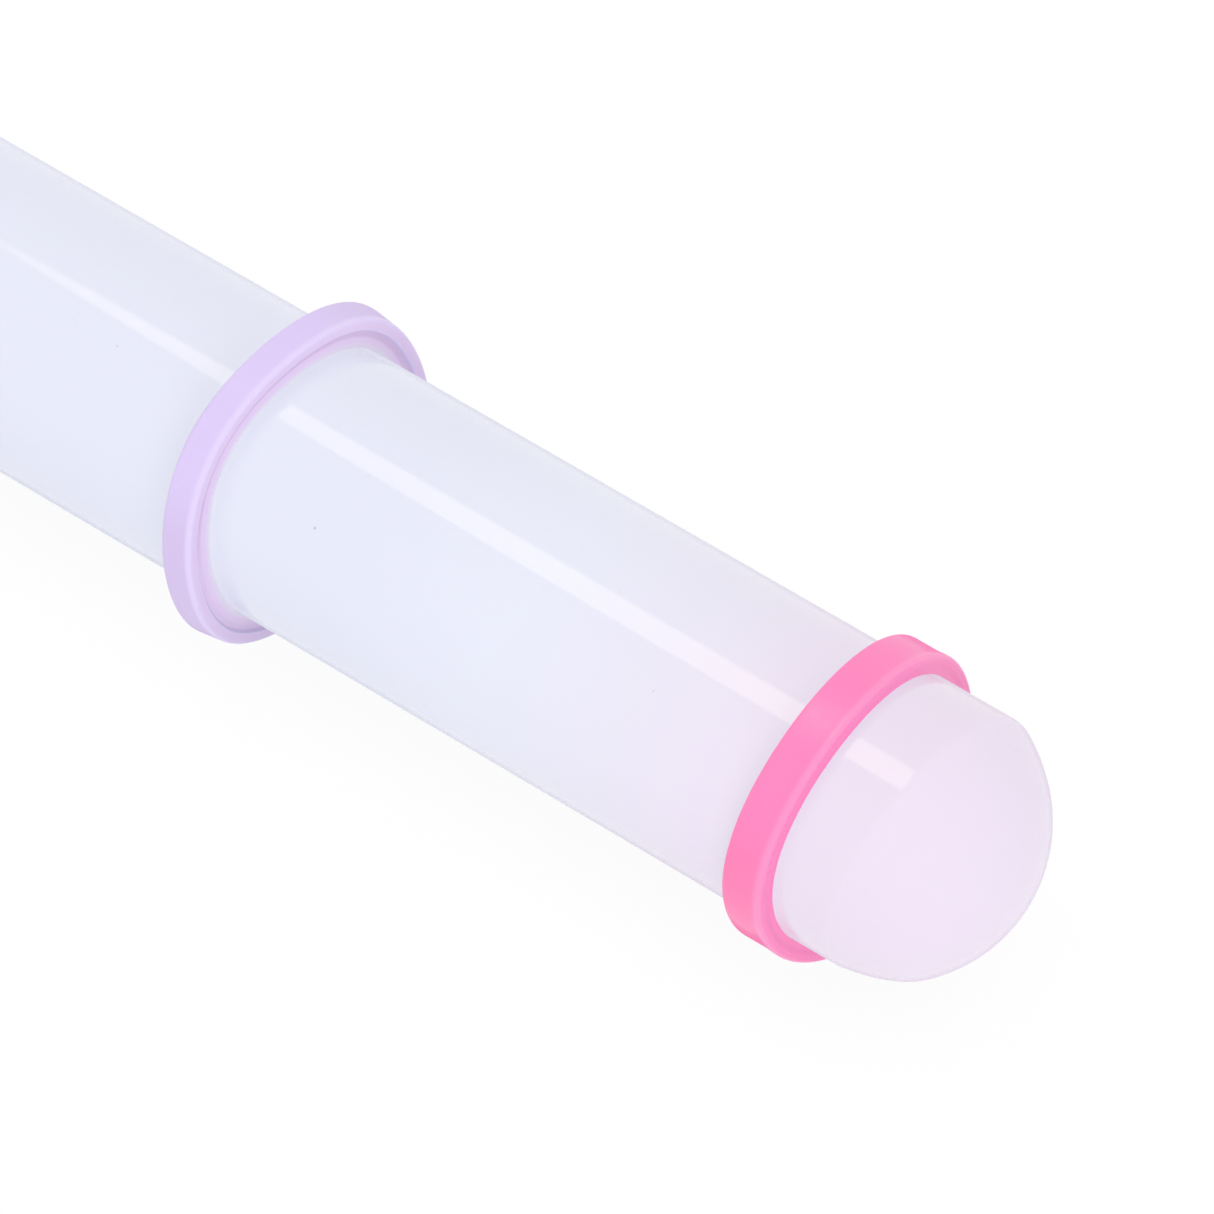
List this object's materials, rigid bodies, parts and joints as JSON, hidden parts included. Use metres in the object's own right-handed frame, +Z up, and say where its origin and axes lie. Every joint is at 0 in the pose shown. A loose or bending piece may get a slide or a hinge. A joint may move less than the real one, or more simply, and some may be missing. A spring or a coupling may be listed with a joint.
{
  "type": "rolling pin",
  "caption": "Small handle-less rolling pin for sheet icing: hollow white plastic roller with domed end caps and sliding silicone guide rings that set the sheet's thickness.",
  "frame": {"origin": "under the middle of the pin's length, on the surface that the thick guide rings stand on", "axes": "+X along the roller's axis, +Z up, +Y across the roller"},
  "size_m": [0.2286, 0.0316, 0.0315],
  "materials": {
    "roller_plastic": "smooth milky white plastic with a cool tint, glossy",
    "pink_silicone": "smooth pink silicone, satin",
    "lilac_silicone": "smooth lilac silicone, satin"
  },
  "bodies": {
    "roller": {"roller_tube": "roller_plastic", "end_cap_right": "roller_plastic", "end_cap_left": "roller_plastic"},
    "thin_ring_right": {"thin_guide_ring_right": "pink_silicone"},
    "thin_ring_left": {"thin_guide_ring_left": "pink_silicone"},
    "thick_ring_right": {"thick_guide_ring_right": "lilac_silicone"},
    "thick_ring_left": {"thick_guide_ring_left": "lilac_silicone"}
  },
  "joints": [
    {"name": "thin_slide_right", "type": "slide", "parent": "roller", "child": "thin_ring_right", "axis": [1, 0, 0], "range_m": [-0.026, 0.024]},
    {"name": "thin_slide_left", "type": "slide", "parent": "roller", "child": "thin_ring_left", "axis": [-1, 0, 0], "range_m": [-0.026, 0.024]},
    {"name": "thick_slide_right", "type": "slide", "parent": "roller", "child": "thick_ring_right", "axis": [1, 0, 0], "range_m": [-0.03, 0.026]},
    {"name": "thick_slide_left", "type": "slide", "parent": "roller", "child": "thick_ring_left", "axis": [-1, 0, 0], "range_m": [-0.03, 0.026]}
  ]
}
